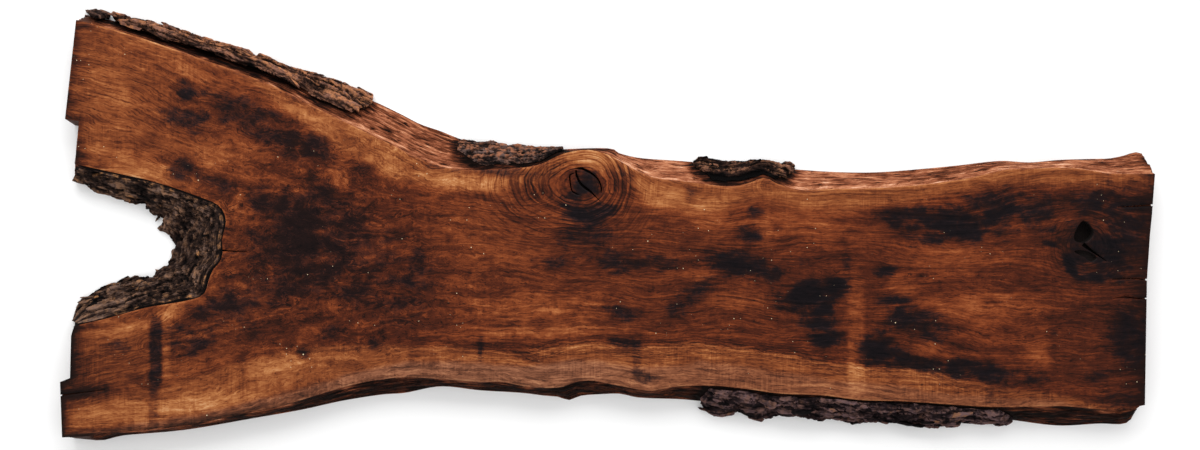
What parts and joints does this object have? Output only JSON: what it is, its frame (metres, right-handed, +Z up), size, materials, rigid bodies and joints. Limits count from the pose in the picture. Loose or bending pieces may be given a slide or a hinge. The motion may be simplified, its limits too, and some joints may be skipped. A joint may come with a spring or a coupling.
{
  "type": "live-edge walnut crotch slab",
  "caption": "Live-edge walnut slab sawn lengthwise through a crotch, forked at one end, with bark left on parts of its wane.",
  "frame": {"origin": "middle of the slab's box, on its underside, which lies on the surface", "axes": "+X along the slab from the fork to the single sawn end, +Y across it towards the limb that splays out, +Z up through its thickness"},
  "size_m": [2.193, 0.8792, 0.06],
  "materials": {
    "walnut_wood": "oiled",
    "walnut_bark": "rough, dry"
  },
  "bodies": {
    "root": {"slab_wood": "walnut_wood", "bark_crotch": "walnut_bark", "bark_lower_edge": "walnut_bark", "bark_upper_patch": "walnut_bark", "bark_hollow": "walnut_bark", "bark_upper_limb": "walnut_bark", "bark_upper_tip": "walnut_bark"}
  },
  "joints": []
}
